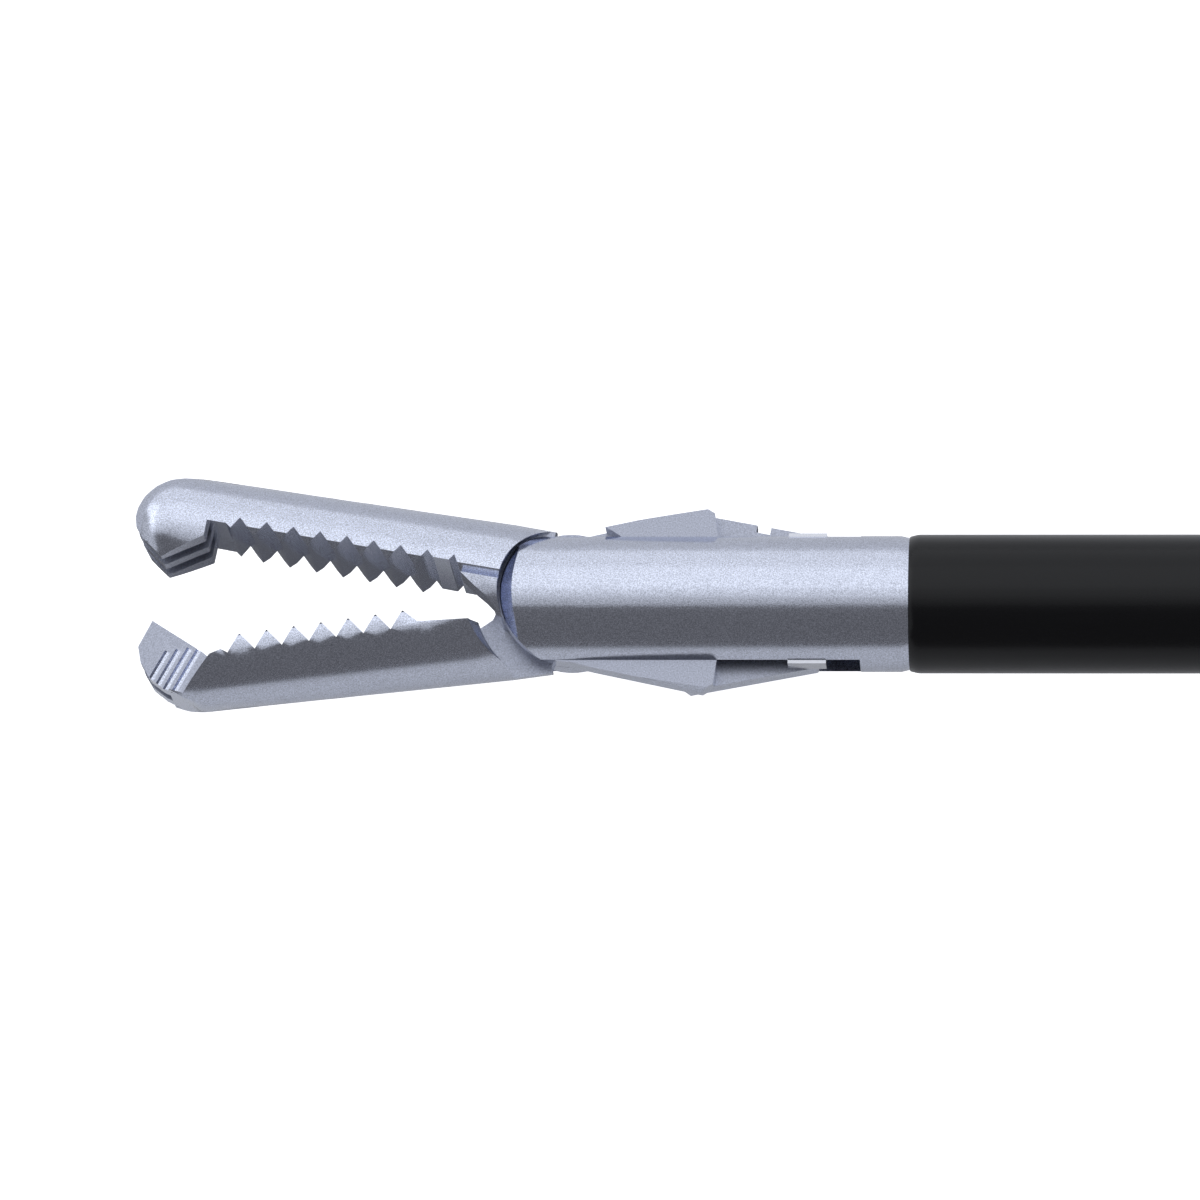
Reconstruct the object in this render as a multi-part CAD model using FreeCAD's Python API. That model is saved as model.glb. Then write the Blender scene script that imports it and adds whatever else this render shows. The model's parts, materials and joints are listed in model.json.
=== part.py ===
import FreeCAD, Part
import math
import os

from FreeCAD import Vector

# Laparoscopic grasper, lying on its side. Millimetres.
# X runs along the shaft, from the jaws (-X) to the handle (+X). The hinge of the jaws is parallel to Z.
# The origin is on the shaft's axis, at the front edge of the black insulation.
# The jaws stand a little open, as they are at rest.

# Shaft
SHAFT_D = 5.0
SHEATH_LENGTH = 294.0
SHEATH_WALL = 0.4
SHEATH_TAPER = 0.3
SHEATH_TAPER_DEPTH = 0.07
TUBE_WALL = 0.36
TUBE_FIT = 0.02
ROD_D = 2.0
ROD_GUIDE_PLAY = 0.15
STUD_D = 1.1
STUD_LENGTH = 2.8

# Fits
RUN_FIT = 0.03
PRESS_FIT = 0.005

# Hinge and clevis: places are measured from the hinge pin
HINGE_AHEAD = 12.16
HINGE_PIN_D = 1.6
HINGE_PIN_SKIN = 0.35
CLEVIS_D = 4.88
EAR_R = 2.5
EAR_BEVEL = 0.48
EAR_BEVEL_Z = 0.85
PLATE_T = 0.85
PLATE_GAP = 0.03
SLOT_PLAY = 0.015
SLOT_REACH = 10.4
SPIGOT_LENGTH = 7.0

# Jaws: distances run along a jaw from the hinge pin, heights from the jaw's own axis
JAW_LENGTH = 16.0
JAW_R_ROOT = 2.44
JAW_R_TIP = 2.08
JAW_ROOT_AT = 2.5
NOSE_LENGTH = 1.4
NOSE_DROP = 0.88
UPPER_REST = 10.4
LOWER_REST = 7.9
DISC_R = 2.35
SHOULDER_PLAY = 0.06
FAR_SHOULDER_R = 3.42
FAR_BEVEL = 0.35
FAR_BEVEL_Z = 1.3
TOOTH_PITCH = 0.985
UPPER_TOOTH_AT = 12.14
UPPER_TEETH = 9
UPPER_VALLEY = 0.50
UPPER_CREST = -0.08
UPPER_LEAN = 0.12
LOWER_TOOTH_AT = 11.90
LOWER_TEETH = 7
LOWER_VALLEY = 0.60
LOWER_CREST = -0.06
LOWER_LEAN = 0.0
ROOT_RELIEF_AT = 4.98
ROOT_RELIEF = 0.26
UPPER_EDGE_CHAMFER = 0.34
LOWER_EDGE_CHAMFER = 0.10
SIDE_FLAT_DEPTH = 0.145
SIDE_FLAT_HEIGHT = 1.38
COMB_ROOT = 13.3
COMB_PLATE = 0.66
COMB_PLAY = 0.07
PRONG_T = 0.70
GROOVE_DEPTH = 0.10
GROOVE_WIDTH = 0.22
GROOVE_STEP = 0.40
GROOVE_COUNT = 4
GROOVE_LEAN = 36.9

# Links between the jaws' tangs and the crosshead
TANG_PIN_X = 4.5
TANG_PIN_Y = 2.55
TANG_PIN_D = 0.8
TANG_PIN_SKIN = 0.25
CROSS_PIN_X = 8.5
CROSS_PIN_Y = 1.8
CROSS_PIN_D = 0.6
CROSS_SLOT_SHIFT = 0.09
CROSS_SLOT_HALF = 0.20
CROSS_SLOT_PLAY = 0.09
LOWER_JAW_LINK_OUTER = 0.76
LOWER_JAW_LINK_CORNER = 0.25
UPPER_JAW_LINK_OUTER = 0.60
UPPER_JAW_LINK_CORNER = 0.50
LINK_INNER = 0.62
LINK_END = 0.84
LINK_CORNER = 0.3
LINK_SWEEP = 1.08
LINK_TRIM = 0.03
NOTCH_AT = 2.05
NOTCH_WIDTH = 0.5
NOTCH_DEPTH = 0.26
CLOSING = 9.15
CLOSED_R = 2.62
CROSSHEAD_LENGTH = 1.37
CROSSHEAD_NECK = 0.85

# Hub, knob and flush port
KNOB_LENGTH = 27.0
KNOB_R = 11.0
KNOB_NOSE_R = 5.4
KNOB_NOSE = 9.0
KNOB_FLUTES = 8
KNOB_FLUTE_R = 3.2
KNOB_FLUTE_DEPTH = 1.3
KNOB_SCREW_R = 1.5
HUB_R = 4.0
HUB_COLLAR_R = 4.6
HUB_NOSE_R = 2.25
HUB_NOSE_LENGTH = 0.4
HUB_FRONT = 12.0
HUB_TAIL = 20.0
HUB_BACK_WALL = 4.0
FLANGE_R = 5.6
FLANGE_T = 2.0
FLANGE_PLAY = 0.2
SEAL_WIDTH = 1.5
SEAL_HEIGHT = 1.8
PORT_AT = 4.0
PORT_R = 2.9
PORT_BORE_R = 1.9
PORT_REACH = 15.0
PORT_LUG_R = 3.9
PORT_LUG_T = 1.2
CAP_R = 4.6
CAP_T = 5.0
CAP_RIBS = 10

# Handle
HANDLE_GAP = 1.0
SHELL_HALF = 7.0
SHELL_EDGE = 2.5
HANDLE_NOSE_HALF = 9.0
HANDLE_TOP = 11.5
HANDLE_CREST_AT = 32.0
HANDLE_BACK = 16.0
HANDLE_BACK_TOP = 9.0
HANDLE_BACK_LOW = -12.0
HANDLE_HEEL_LOW = -20.0
HANDLE_CHIN_AT = 16.0
HANDLE_CHIN_LOW = -15.0
HANDLE_NECK_FRONT = 8.0
HANDLE_NECK_BACK = 9.0
BEARING_WALL = 1.8
BEARING_LENGTH = 7.9
PIVOT_AT = 55.0
PIVOT_BELOW = 7.0
PIVOT_D = 4.0
PIVOT_SKIN = 1.0
LEVER_HALF = 3.9
LEVER_SLOT_HALF = 4.2
LEVER_SLOT_PLAY = 0.9
LEVER_SWING_PLAY = 1.5
LEVER_CLOSE = 4.8
LEVER_OPEN = 7.4
LEVER_TOP = 3.6
LEVER_TOP_HALF = 4.6
LEVER_WAIST = 6.0
LEVER_ELBOW_IN = 12.0
LEVER_ELBOW_OUT = 22.0
LEVER_BUSH_WALL = 0.9
BALL_R = 2.0
BALL_PLAY = 0.08
BALL_RISE = 0.35
SOCKET_R = 3.1
ROD_MOUTH_PLAY = 1.5
RING_WALL = 5.0
RING_HALF = 5.0
RING_EDGE = 2.2
FINGER_AT = 38.0
FINGER_Y = -62.0
FINGER_HALF_WIDTH = 12.5
FINGER_HALF_LENGTH = 19.0
THUMB_BEHIND = 41.0
THUMB_Y = -64.0
THUMB_HALF_WIDTH = 12.0
THUMB_HALF_LENGTH = 15.0
THUMB_LEAN = 18.0
POST_R = 2.0
POST_LENGTH = 13.0
POST_TIP = 0.5
POST_NECK = 0.4
POST_NECK_R = 1.7
POST_SEAT_R = 2.6
POST_HEAD_R = 3.4
POST_HEAD_T = 1.6
COLLAR_R = 4.5
COLLAR_REACH = 9.0
CONTACT_WIDTH = 3.0
CONTACT_LENGTH = 6.0
CONTACT_THICK = 2.2
CONTACT_GAP = 0.9
SCREW_HEAD_R = 2.6
SCREW_HEAD_T = 1.7
SCREW_HEAD_PLAY = 0.1
SCREW_HEAD_SUNK = 0.3
SCREW_R = 1.4
SCREW_DEPTH = 10.5
SCREW_SLOT_HALF = 0.35
SCREW_SLOT_DEPTH = 0.8
FRONT_SCREW_AT = 27.0
FRONT_SCREW_Y = -11.0
BACK_SCREW_BEHIND = 11.5
BACK_SCREW_Y = 2.0
RING_SCREW_RISE = 9.0

# Derived sizes
SHAFT_R = SHAFT_D / 2
CLEVIS_R = CLEVIS_D / 2
TUBE_R = SHAFT_R - SHEATH_WALL - TUBE_FIT
TUBE_BORE_R = TUBE_R - TUBE_WALL
SPIGOT_R = TUBE_BORE_R - TUBE_FIT
ROD_R = ROD_D / 2
PLATE_IN = PLATE_GAP / 2
PLATE_OUT = PLATE_IN + PLATE_T
SLOT_HALF = PLATE_OUT + SLOT_PLAY
PIN_R = HINGE_PIN_D / 2
TANG_PIN_R = TANG_PIN_D / 2
CROSS_PIN_R = CROSS_PIN_D / 2
STUD_START = CROSS_PIN_X + 4.2
HUB_START = SHEATH_LENGTH
KNOB_START = HUB_START + HUB_FRONT
KNOB_END = KNOB_START + KNOB_LENGTH
KNOB_SCREW_X = KNOB_START + KNOB_LENGTH * 0.7
HUB_END = KNOB_END + HUB_TAIL
HANDLE_START = KNOB_END + HANDLE_GAP
FLANGE_START = HANDLE_START + BEARING_LENGTH + FLANGE_PLAY / 2
PORT_X = HUB_START + PORT_AT
PIVOT_X = HANDLE_START + PIVOT_AT
PIVOT_Y = -PIVOT_BELOW
FINGER_X = HANDLE_START + FINGER_AT
THUMB_X = PIVOT_X + THUMB_BEHIND
POST_X = FLANGE_START + FLANGE_T + FLANGE_PLAY / 2 + CONTACT_GAP + CONTACT_LENGTH / 2
POST_BASE = HUB_R + CONTACT_THICK
COLLAR_TOP = HANDLE_TOP + COLLAR_REACH
BALL_SEAT = PIVOT_X - BALL_R * 0.6
SCREW_TOP = SHELL_HALF - SCREW_HEAD_SUNK
BIG = 60.0

os.makedirs("parts", exist_ok=True)


# Shape helpers


def at(shape, x=0.0, y=0.0, z=0.0, turn=0.0):
    """Turns a shape about Z at the origin, then moves it."""
    moved = shape.copy()
    moved.rotate(Vector(0, 0, 0), Vector(0, 0, 1), turn)
    moved.translate(Vector(x, y, z))
    return moved


def prism(points, z0, z1):
    """A straight-sided solid with an outline in the XY plane."""
    corners = [Vector(x, y, z0) for x, y in points]
    face = Part.Face(Part.makePolygon(corners + corners[:1]))
    return face.extrude(Vector(0, 0, z1 - z0))


def corner_arc(before, here, after, radius):
    """The arc that rounds one corner of an outline, with its two ends."""
    to_before = (before - here).normalize()
    to_after = (after - here).normalize()
    half = to_before.getAngle(to_after) / 2
    back = radius / math.tan(half)
    first = here + to_before * back
    second = here + to_after * back
    centre = here + (to_before + to_after).normalize() * (radius / math.sin(half))
    middle = centre + (here - centre).normalize() * radius
    return Part.Arc(first, middle, second).toShape(), first, second


def rounded_prism(points, z0, z1):
    """A prism with a radius at each corner of its outline: points are (x, y, radius)."""
    count = len(points)
    places = [Vector(x, y, z0) for x, y, radius in points]
    arcs = []
    for i in range(count):
        radius = points[i][2]
        arcs.append(corner_arc(places[i - 1], places[i], places[(i + 1) % count], radius))
    edges = []
    for i in range(count):
        arc, first, second = arcs[i]
        edges.append(arc)
        edges.append(Part.makeLine(second, arcs[(i + 1) % count][1]))
    return Part.Face(Part.Wire(edges)).extrude(Vector(0, 0, z1 - z0))


def turned(profile):
    """A solid turned about the X axis: the profile is (x, radius) and closes on the axis."""
    points = [(profile[0][0], 0.0)] + list(profile) + [(profile[-1][0], 0.0)]
    corners = [Vector(x, r, 0) for x, r in points]
    face = Part.Face(Part.makePolygon(corners + corners[:1]))
    return face.revolve(Vector(0, 0, 0), Vector(1, 0, 0), 360)


def rod_x(radius, x0, x1, y=0.0, z=0.0):
    return Part.makeCylinder(radius, x1 - x0, Vector(x0, y, z), Vector(1, 0, 0))


def rod_y(radius, y0, y1, x=0.0, z=0.0):
    return Part.makeCylinder(radius, y1 - y0, Vector(x, y0, z), Vector(0, 1, 0))


def rod_z(radius, z0, z1, x=0.0, y=0.0):
    return Part.makeCylinder(radius, z1 - z0, Vector(x, y, z0), Vector(0, 0, 1))


def block(x0, x1, y0, y1, z0, z1):
    return Part.makeBox(x1 - x0, y1 - y0, z1 - z0, Vector(x0, y0, z0))


def both_sides(points, z0, z1):
    """The same outline as two plates, one each side of the middle plane."""
    return prism(points, z0, z1).fuse(prism(points, -z1, -z0))


def oval(x, y, half_width, half_length, z0, z1, lean):
    """An upright oval of two half circles and two straight sides, leaning about its centre."""
    straight = half_length - half_width
    shape = block(-half_width, half_width, -straight, straight, z0, z1)
    for side in (-1, 1):
        shape = shape.fuse(rod_z(half_width, z0, z1, 0, side * straight))
    return at(shape.removeSplitter(), x, y, 0, lean)


def soften(shape, radius):
    """Rounds the edges of the faces that look along Z."""
    flat_edges = [edge for edge in shape.Edges if edge.BoundBox.ZLength < 1e-6]
    return shape.makeFillet(radius, flat_edges)


def flip(shape):
    """Half a turn about the X axis: from the upper jaw's side to the lower jaw's."""
    turned_over = shape.copy()
    turned_over.rotate(Vector(0, 0, 0), Vector(1, 0, 0), 180)
    return turned_over


def save(name, shape):
    solids = shape.Solids
    clean = solids[0] if len(solids) == 1 else Part.makeCompound(solids)
    clean.exportStep("parts/" + name + ".step")


def save_from_hinge(name, shape):
    """Saves a shape that was drawn about the hinge pin."""
    save(name, at(shape, -HINGE_AHEAD))


# Jaws. A jaw is drawn as the upper one, closed, with the hinge pin at the origin and its tip at -X.


def jaw_round():
    """The tapered round body that both jaws are cut from, with a rounded nose."""
    nose_x = NOSE_LENGTH - JAW_LENGTH
    nose_r = (NOSE_LENGTH ** 2 + NOSE_DROP ** 2) / (2 * NOSE_DROP)
    half_turn = math.asin(NOSE_LENGTH / nose_r) / 2
    middle_x = nose_x - nose_r * math.sin(half_turn)
    middle_y = JAW_R_TIP - nose_r * (1 - math.cos(half_turn))
    start = Vector(nose_x, JAW_R_TIP, 0)
    end = Vector(-JAW_LENGTH, JAW_R_TIP - NOSE_DROP, 0)
    arc = Part.Arc(start, Vector(middle_x, middle_y, 0), end).toShape()
    corners = [
        end,
        Vector(-JAW_LENGTH, 0, 0),
        Vector(0, 0, 0),
        Vector(0, JAW_R_ROOT, 0),
        Vector(-JAW_ROOT_AT, JAW_R_ROOT, 0),
        start,
    ]
    face = Part.Face(Part.Wire([arc] + Part.makePolygon(corners).Edges))
    return face.revolve(Vector(0, 0, 0), Vector(1, 0, 0), 360)




def tooth_line(first, count, crest, valley, lean, starts_low):
    """The zigzag from the tip end to the root end. Crests may lean towards the root."""
    points = []
    for i in range(2 * count - 1):
        along = first - i * TOOTH_PITCH / 2
        is_valley = (i % 2 == 0) != starts_low
        points.append((-along, valley) if is_valley else (-along + lean, crest))
    return points


def root_cuts():
    """Room for the near ear, and for the other jaw's disc and shoulder with the far ear."""
    near = rod_z(EAR_R + SHOULDER_PLAY, PLATE_OUT, BIG)
    far = rod_z(FAR_SHOULDER_R, -BIG, PLATE_IN)
    bevel_start = Vector(0, 0, FAR_BEVEL_Z)
    bevel = Part.makeCone(FAR_SHOULDER_R, FAR_SHOULDER_R + FAR_BEVEL, JAW_R_ROOT - FAR_BEVEL_Z, bevel_start)
    return [near, far, flip(bevel)]


def edge_cuts(crest, depth, height, inset, reach):
    """Cuts both long edges of the toothed face, along the jaw's taper, as far as the teeth go or reach."""
    cuts = []
    length = JAW_LENGTH - JAW_ROOT_AT
    taper = math.degrees(math.atan((JAW_R_ROOT - JAW_R_TIP) / length))
    for side in (1, -1):
        low = crest - 0.02
        corners = [
            Vector(0, low, -side * depth),
            Vector(0, low, side),
            Vector(0, low + (depth + 1.0) * height / depth, side),
        ]
        face = Part.Face(Part.makePolygon(corners + corners[:1]))
        wedge = face.extrude(Vector(JAW_ROOT_AT - reach, 0, 0))
        wedge.rotate(Vector(0, 0, 0), Vector(0, 1, 0), -side * taper)
        wedge.translate(Vector(-JAW_ROOT_AT, 0, side * (JAW_R_ROOT - inset)))
        cuts.append(wedge)
    return cuts


def upper_blade():
    """Toothed blade with a V-shaped comb of three plates at its tip."""
    back = [
        (-1.0, 2.60),
        (-JAW_ROOT_AT, 2.52),
        (-13.3, 2.05),
        (-13.9, 1.98),
        (-14.5, 1.84),
        (-15.0, 1.62),
        (-15.45, 1.28),
        (-15.8, 0.85),
        (-15.97, 0.40),
    ]
    comb = [
        (-15.98, 0.05),
        (-15.85, -0.36),
        (-15.50, -0.78),
        (-14.72, -1.31),
        (-COMB_ROOT, -0.37),
        (-COMB_ROOT, 0.20),
        (-COMB_ROOT + 0.7, 0.20),
        (-COMB_ROOT + 0.9, 0.06),
    ]
    teeth = tooth_line(UPPER_TOOTH_AT, UPPER_TEETH, UPPER_CREST, UPPER_VALLEY, UPPER_LEAN, False)
    root = [(-3.9, -0.12), (-3.3, -0.52), (-2.9, -0.75), (-2.55, -1.0), (-2.2, -1.4), (-1.0, -1.4)]
    blade = jaw_round().common(prism(back + comb + teeth + root, -BIG, BIG))
    last_tooth = [(-ROOT_RELIEF_AT, -1.0), (-ROOT_RELIEF_AT, ROOT_RELIEF), (-4.4, ROOT_RELIEF), (-3.9, -1.0)]
    blade = blade.cut(prism(last_tooth, -BIG, BIG))
    far_root = [(-4.5, -2.0), (-4.5, ROOT_RELIEF), (-3.3, ROOT_RELIEF), (-2.9, -0.45), (-2.55, -1.0), (-2.2, -2.0)]
    blade = blade.cut(prism(far_root, -BIG, PLATE_OUT))
    slot = [
        (-16.5, 0.50),
        (-15.90, 0.50),
        (-15.40, 1.10),
        (-15.05, 1.30),
        (-14.80, 1.26),
        (-COMB_ROOT, 0.30),
        (-COMB_ROOT, -2.0),
        (-16.5, -2.0),
    ]
    inner = COMB_PLATE / 2
    blade = blade.cut(both_sides(slot, inner, inner + PRONG_T + 2 * COMB_PLAY))
    for cut in edge_cuts(UPPER_CREST, UPPER_EDGE_CHAMFER, UPPER_EDGE_CHAMFER, 0.0, UPPER_TOOTH_AT):
        blade = blade.cut(cut)
    return blade


def lower_blade():
    """Toothed blade with two prongs that enter the comb. Drawn like the upper one, and flipped later."""
    back = [
        (-1.0, 2.60),
        (-JAW_ROOT_AT, 2.52),
        (-13.5, 2.06),
        (-14.2, 1.80),
        (-14.9, 1.36),
        (-15.35, 0.90),
        (-15.6, 0.30),
        (-15.62, -0.30),
    ]
    prong = [(-15.0, -1.18), (-13.35, 0.22), (-13.05, 0.55), (-12.62, 0.44)]
    gap = [(-LOWER_TOOTH_AT - TOOTH_PITCH / 2, LOWER_VALLEY)]
    teeth = tooth_line(LOWER_TOOTH_AT, LOWER_TEETH, LOWER_CREST, LOWER_VALLEY, LOWER_LEAN, True)
    root = [(-5.5, 0.44), (-3.62, 0.60), (-2.9, 0.45), (-2.55, -0.9), (-2.2, -1.4), (-1.0, -1.4)]
    blade = jaw_round().common(prism(back + prong + gap + teeth + root, -BIG, BIG))
    for cut in edge_cuts(LOWER_CREST, SIDE_FLAT_DEPTH, SIDE_FLAT_HEIGHT, 0.0, JAW_LENGTH):
        blade = blade.cut(cut)
    for cut in edge_cuts(LOWER_CREST, LOWER_EDGE_CHAMFER, LOWER_EDGE_CHAMFER, SIDE_FLAT_DEPTH, UPPER_TOOTH_AT):
        blade = blade.cut(cut)
    shelf = [
        (-13.0, 0.50),
        (-14.2, 1.66),
        (-15.05, 1.36),
        (-15.85, 0.50),
        (-16.5, 0.0),
        (-16.5, -2.5),
        (-13.0, -2.5),
    ]
    middle = COMB_PLATE / 2 + COMB_PLAY
    blade = blade.cut(prism(shelf, -middle, middle))
    blade = blade.cut(both_sides(shelf, middle + PRONG_T, BIG))
    for cut in prong_grooves():
        blade = blade.cut(cut)
    return blade


def prong_grooves():
    """Shallow slanting grooves on the outer face of the prongs, each with one sloping side."""
    cuts = []
    outer = COMB_PLATE / 2 + COMB_PLAY + PRONG_T
    above = outer + 0.01
    for i in range(GROOVE_COUNT):
        for side in (1, -1):
            corners = [
                Vector(0, 0, side * above),
                Vector(-GROOVE_WIDTH, 0, side * (outer - GROOVE_DEPTH)),
                Vector(-GROOVE_WIDTH, 0, side * above),
            ]
            face = Part.Face(Part.makePolygon(corners + corners[:1]))
            groove = face.extrude(Vector(0, 2.4, 0))
            cuts.append(at(groove, -COMB_ROOT - i * GROOVE_STEP, 0.1, 0, GROOVE_LEAN))
    return cuts


def tang_outline(y_sign):
    """The plate from the hinge disc to the link's pin, at rest: it points up (1) or down (-1)."""
    outer = [
        (0.9, DISC_R + 0.22),
        (TANG_PIN_X + 0.25, TANG_PIN_Y + 0.84),
        (TANG_PIN_X + 0.65, TANG_PIN_Y + 0.6),
        (TANG_PIN_X + 0.8, TANG_PIN_Y - 0.45),
    ]
    inner = [(TANG_PIN_X - 0.3, TANG_PIN_Y - 0.85), (1.6, 0.6), (0.0, 0.0), (-0.6, 2.2)]
    return [(x, y_sign * y) for x, y in outer + inner]


def closed_envelope():
    """The closed instrument lies inside this round bar, so that it passes its port."""
    return rod_x(CLOSED_R, -BIG, BIG)


def upper_tang():
    return prism(tang_outline(-1), PLATE_IN, PLATE_OUT)


def lower_tang():
    """Steps from its own layer at the disc to the upper jaw's layer at the pin, clear of the link."""
    arm = prism(tang_outline(1), -PLATE_OUT, -PLATE_IN)
    arm = arm.cut(rod_z(LINK_SWEEP, -BIG, BIG, TANG_PIN_X, TANG_PIN_Y))
    pad = prism(tang_outline(1), -PLATE_IN, PLATE_OUT)
    return arm.fuse(pad.cut(rod_z(DISC_R + 0.55, -BIG, BIG)))


def jaw(blade, tang, turn, y_sign):
    """Joins blade, hinge disc and tang, and drills both pin holes. turn is the rest angle about Z."""
    for cut in root_cuts():
        blade = blade.cut(cut)
    disc = rod_z(DISC_R, PLATE_IN, PLATE_OUT)
    web_corners = [(-2.0, 1.2), (-3.6, 1.9), (-3.6, 0.55), (-2.9, 0.2), (-1.6, -1.7)]
    web = prism(web_corners, PLATE_IN, PLATE_OUT).common(jaw_round())
    whole = blade.fuse(disc).fuse(web)
    if y_sign > 0:
        whole = flip(whole)
    whole = at(whole, turn=turn)
    swing = -y_sign * CLOSING
    tang = at(at(tang, turn=swing).common(closed_envelope()), turn=-swing)
    whole = whole.fuse(tang).removeSplitter()
    whole = whole.cut(rod_z(PIN_R + RUN_FIT, -BIG, BIG))
    top = PLATE_OUT - TANG_PIN_SKIN
    return whole.cut(rod_z(TANG_PIN_R + PRESS_FIT, -BIG, top, TANG_PIN_X, y_sign * TANG_PIN_Y))


def tang_pin(y_sign):
    """Pressed in from the back: its hole doesn't reach the tang's front face."""
    top = PLATE_OUT - TANG_PIN_SKIN
    return rod_z(TANG_PIN_R, -PLATE_OUT, top, TANG_PIN_X, y_sign * TANG_PIN_Y)


def link(y_sign, outer, outer_corner):
    """A flat bar behind the tang: a close hole at the tang, and a short slot at the crosshead."""
    run = CROSS_PIN_X - TANG_PIN_X
    drop = TANG_PIN_Y - CROSS_PIN_Y
    length = math.hypot(run, drop)
    inner = LINK_INNER
    end = LINK_END
    corner = LINK_CORNER
    far_end = length + end
    outline = [
        (-end, -inner + corner),
        (-end, outer - outer_corner),
        (-end + outer_corner, outer),
        (far_end - 2 * corner, outer),
        (far_end, outer - 2 * corner),
        (far_end, -inner + corner),
        (far_end - corner, -inner),
        (-end + corner, -inner),
    ]
    bar = prism(outline, -PLATE_OUT + LINK_TRIM, -PLATE_IN)
    closed_angle = math.atan2(TANG_PIN_Y, TANG_PIN_X) - math.radians(CLOSING)
    closed_y = math.hypot(TANG_PIN_X, TANG_PIN_Y) * math.sin(closed_angle)
    bar = bar.common(rod_x(CLOSED_R, -BIG, BIG, -closed_y))
    bar = bar.cut(rod_z(TANG_PIN_R + RUN_FIT, -BIG, BIG))
    slot_r = CROSS_PIN_R + CROSS_SLOT_PLAY
    slot_centre = length + CROSS_SLOT_SHIFT
    for shift in (-CROSS_SLOT_HALF, CROSS_SLOT_HALF):
        bar = bar.cut(rod_z(slot_r, -BIG, BIG, slot_centre + shift))
    slot_ends = (slot_centre - CROSS_SLOT_HALF, slot_centre + CROSS_SLOT_HALF)
    bar = bar.cut(block(slot_ends[0], slot_ends[1], -slot_r, slot_r, -BIG, BIG))
    if y_sign > 0:
        bar = bar.cut(block(NOTCH_AT, NOTCH_AT + NOTCH_WIDTH, outer - NOTCH_DEPTH, outer + 1, -BIG, BIG))
    bar = at(bar, TANG_PIN_X, TANG_PIN_Y, 0, -math.degrees(math.atan2(drop, run)))
    if y_sign < 0:
        bar = bar.mirror(Vector(0, 0, 0), Vector(0, 1, 0))
    return bar


def crosshead():
    """The flat head that carries both link pins, with a shank and a stud for the rod."""
    start = CROSS_PIN_X - CROSSHEAD_LENGTH / 2
    end = CROSS_PIN_X + CROSSHEAD_LENGTH / 2
    half = CROSS_PIN_Y + 0.6
    head = block(start, end, -half, half, PLATE_IN, PLATE_OUT)
    neck = block(end - 0.6, STUD_START - 1.0, -CROSSHEAD_NECK, CROSSHEAD_NECK, -PLATE_OUT, PLATE_OUT)
    round_from = end + 0.35
    neck = neck.common(rod_x(ROD_R, round_from, BIG).fuse(block(end, round_from, -BIG, BIG, -BIG, BIG)))
    body = head.fuse(neck).common(closed_envelope())
    body = body.fuse(rod_x(ROD_R, STUD_START - 1.5, STUD_START))
    body = body.fuse(rod_x(STUD_D / 2, STUD_START, STUD_START + STUD_LENGTH)).removeSplitter()
    for y in (-CROSS_PIN_Y, CROSS_PIN_Y):
        body = body.cut(rod_z(CROSS_PIN_R + PRESS_FIT, -BIG, BIG, CROSS_PIN_X, y))
    return body


def crosshead_pins():
    pins = []
    for y in (-CROSS_PIN_Y, CROSS_PIN_Y):
        pins.append(rod_z(CROSS_PIN_R, -PLATE_OUT + LINK_TRIM, PLATE_OUT, CROSS_PIN_X, y))
    return Part.makeCompound(pins)


def clevis():
    """Round body with two bevelled ears and a slot right through, and a spigot for the tube."""
    taper_start = HINGE_AHEAD - SHEATH_TAPER
    end_r = CLEVIS_R - SHEATH_TAPER_DEPTH
    body = turned([(-EAR_R, CLEVIS_R), (taper_start, CLEVIS_R), (HINGE_AHEAD, end_r)])
    bevel_z = SLOT_HALF + EAR_BEVEL_Z
    reach = rod_z(EAR_R, -bevel_z, bevel_z)
    for side in (1, -1):
        base = Vector(0, 0, side * bevel_z)
        cone = Part.makeCone(EAR_R, EAR_R - EAR_BEVEL, CLEVIS_R - bevel_z, base, Vector(0, 0, side))
        reach = reach.fuse(cone)
    ears = body.common(reach.fuse(block(0, BIG, -BIG, BIG, -BIG, BIG)))
    part = ears.fuse(rod_x(SPIGOT_R, HINGE_AHEAD, HINGE_AHEAD + SPIGOT_LENGTH))
    part = part.cut(block(-BIG, SLOT_REACH, -BIG, BIG, -SLOT_HALF, SLOT_HALF))
    part = part.cut(rod_x(ROD_R + ROD_GUIDE_PLAY, SLOT_REACH - 1, BIG))
    return part.cut(rod_z(PIN_R + PRESS_FIT, -BIG, CLEVIS_R - HINGE_PIN_SKIN)).removeSplitter()


def hinge_pin():
    """Pressed in from the back and ground flush there: its hole doesn't reach the front."""
    pin = rod_z(PIN_R, -CLEVIS_R, CLEVIS_R - HINGE_PIN_SKIN)
    return pin.common(rod_x(CLEVIS_R - 0.01, -BIG, BIG))


# Shaft


def sheath():
    """Black insulation. Its front edge tapers a little, towards the clevis."""
    profile = [(0, SHAFT_R - SHEATH_TAPER_DEPTH), (SHEATH_TAPER, SHAFT_R), (SHEATH_LENGTH, SHAFT_R)]
    return turned(profile).cut(rod_x(SHAFT_R - SHEATH_WALL, -1, SHEATH_LENGTH + 1))


def shaft_tube():
    end = HUB_END - HUB_BACK_WALL
    return rod_x(TUBE_R, 0, end).cut(rod_x(TUBE_BORE_R, -1, end + 1))


def push_rod():
    start = STUD_START - HINGE_AHEAD
    rod = rod_x(ROD_R, start, BALL_SEAT)
    return rod.cut(rod_x(STUD_D / 2 + PRESS_FIT, start - 1, start + STUD_LENGTH + 0.2))


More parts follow.
